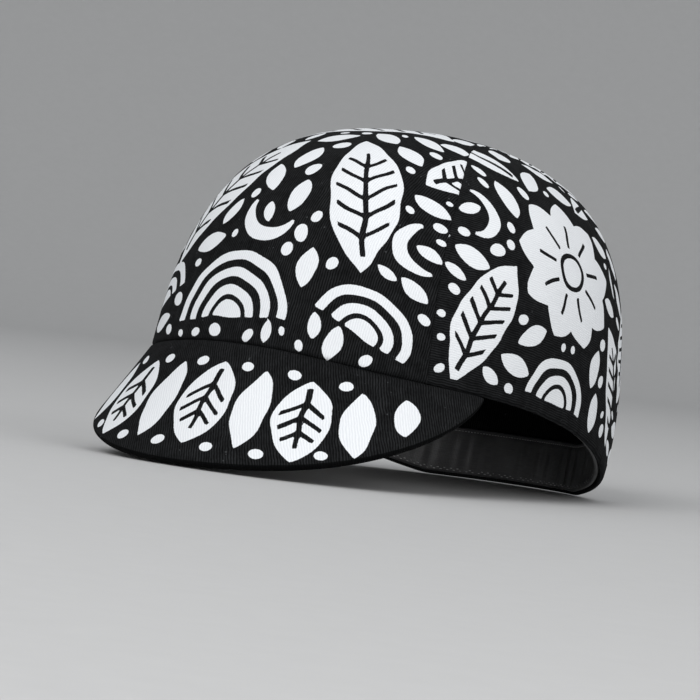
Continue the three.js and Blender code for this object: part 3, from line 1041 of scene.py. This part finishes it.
def makeFloor():
    # A surface of revolution: a flat disc that turns up into a round wall along a quarter ellipse
    aroundSteps, flatSteps, turnSteps = stage["steps"]
    around = np.linspace(0, 2 * np.pi, aroundSteps, endpoint=False)
    flat = np.linspace(stage["hubRadius"], stage["floorRadius"], flatSteps)
    turn = np.linspace(0, np.pi / 2, turnSteps)[1:]
    turned = stage["floorRadius"] + (stage["wallRadius"] - stage["floorRadius"]) * np.sin(turn)
    radius = np.concatenate([flat, turned])
    height = np.concatenate([0 * flat, stage["wallHeight"] * (1 - np.cos(turn))])
    grid = np.stack([
        radius[:, None] * np.cos(around), radius[:, None] * np.sin(around), height[:, None] + 0 * around
    ], -1)
    rows, columns = grid.shape[:2]
    index = np.arange(rows * columns).reshape(rows, columns)
    beside = np.roll(index, -1, axis=1)
    quads = np.stack([index[:-1], index[1:], beside[1:], beside[:-1]], -1).reshape(-1, 4)
    points = np.concatenate([grid.reshape(-1, 3), [[0, 0, 0]]])
    hub = np.stack([index[0], beside[0], np.full(columns, len(points) - 1)], -1)
    mesh = bpy.data.meshes.new("floorSweep")
    mesh.from_pydata(points.tolist(), [], quads.tolist() + hub.tolist())
    mesh.shade_smooth()
    mesh.materials.append(floorFinish("pale floor"))
    floorSweep = bpy.data.objects.new("floorSweep", mesh)
    bpy.context.collection.objects.link(floorSweep)


def areaLight(name, azimuth, elevation, distance, size, power):
    # A white disc that faces the aim from a place on a sphere round it; azimuth 0 is ahead of the peak
    data = bpy.data.lights.new(name, "AREA")
    data.shape, data.size, data.energy = "DISK", size, power
    light = bpy.data.objects.new(name, data)
    a, e = math.radians(azimuth), math.radians(elevation)
    back = Vector((math.sin(a) * math.cos(e), -math.cos(a) * math.cos(e), math.sin(e)))
    light.location = Vector(stage["lightsAim"]) + back * distance
    light.rotation_mode = "QUATERNION"
    light.rotation_quaternion = (-back).to_track_quat("-Z", "Y")
    light.visible_camera = False
    bpy.context.collection.objects.link(light)


def makeLights():
    # The studio's four soft lights, a pale even world and a plain view of the colours
    for row in stage["lights"]:
        areaLight(*row)
    world = bpy.data.worlds.new("studio")
    world.use_nodes = True
    background = world.node_tree.nodes["Background"]
    background.inputs["Color"].default_value = stage["worldColour"]
    background.inputs["Strength"].default_value = stage["worldStrength"]
    bpy.context.scene.world = world
    view = bpy.context.scene.view_settings
    view.view_transform, view.look, view.exposure = "Standard", "None", 0.0


camera = {  # the photograph's view of the hem's frame
    "azimuth": math.radians(35.574),
    "elevation": math.radians(-8.267),
    "roll": math.radians(14.047),
    "distance": 1373.6,
    "scale": 2.659,  # picture widths of 700 per millimetre at the hem's middle
    "pictureSide": 700,
    "hemPlace": (379.1, 427.9),  # where the hem's middle falls in the picture
    "sensor": 36.0,
    "clip": (0.05, 50),
}


def makeCamera():
    # A pinhole at its distance from the hem's middle. It turns with the cap as that tips back, so that the
    # cap looks as in the photo
    a, e, r = camera["azimuth"], camera["elevation"], camera["roll"]
    right = np.array([math.cos(a), math.sin(a), 0])
    up = np.array([-math.sin(e) * math.sin(a), math.sin(e) * math.cos(a), math.cos(e)])
    back = np.array([math.sin(a) * math.cos(e), -math.cos(a) * math.cos(e), math.sin(e)])
    pictureX = right * math.cos(r) + up * math.sin(r)
    pictureY = up * math.cos(r) - right * math.sin(r)
    focal = camera["scale"] * camera["distance"]
    half = camera["pictureSide"] / 2
    aside, below = camera["hemPlace"][0] - half, camera["hemPlace"][1] - half
    c, s = math.cos(cap["tilt"]), math.sin(cap["tilt"])
    turn = np.array([[1, 0, 0], [0, c, s], [0, -s, c]])
    lookAlong = turn @ (-back * focal - pictureX * aside + pictureY * below)
    lookAlong = Vector(lookAlong).normalized()
    across = lookAlong.cross(Vector(turn @ pictureY)).normalized()
    upward = across.cross(lookAlong)
    place = turn @ (back * camera["distance"]) + np.array([0, cap["shift"], cap["lift"]])
    data = bpy.data.cameras.new("photoCamera")
    data.sensor_width = camera["sensor"]
    data.lens = focal / camera["pictureSide"] * camera["sensor"]
    data.clip_start, data.clip_end = camera["clip"]
    eye = bpy.data.objects.new("photoCamera", data)
    axes = Matrix((across, upward, -lookAlong)).transposed().to_4x4()
    eye.matrix_world = Matrix.Translation(Vector(place / 1000)) @ axes
    bpy.context.collection.objects.link(eye)
    bpy.context.scene.camera = eye


makeFloor()
makeLights()
makeCamera()
print("cap: stage, lights and camera ready")

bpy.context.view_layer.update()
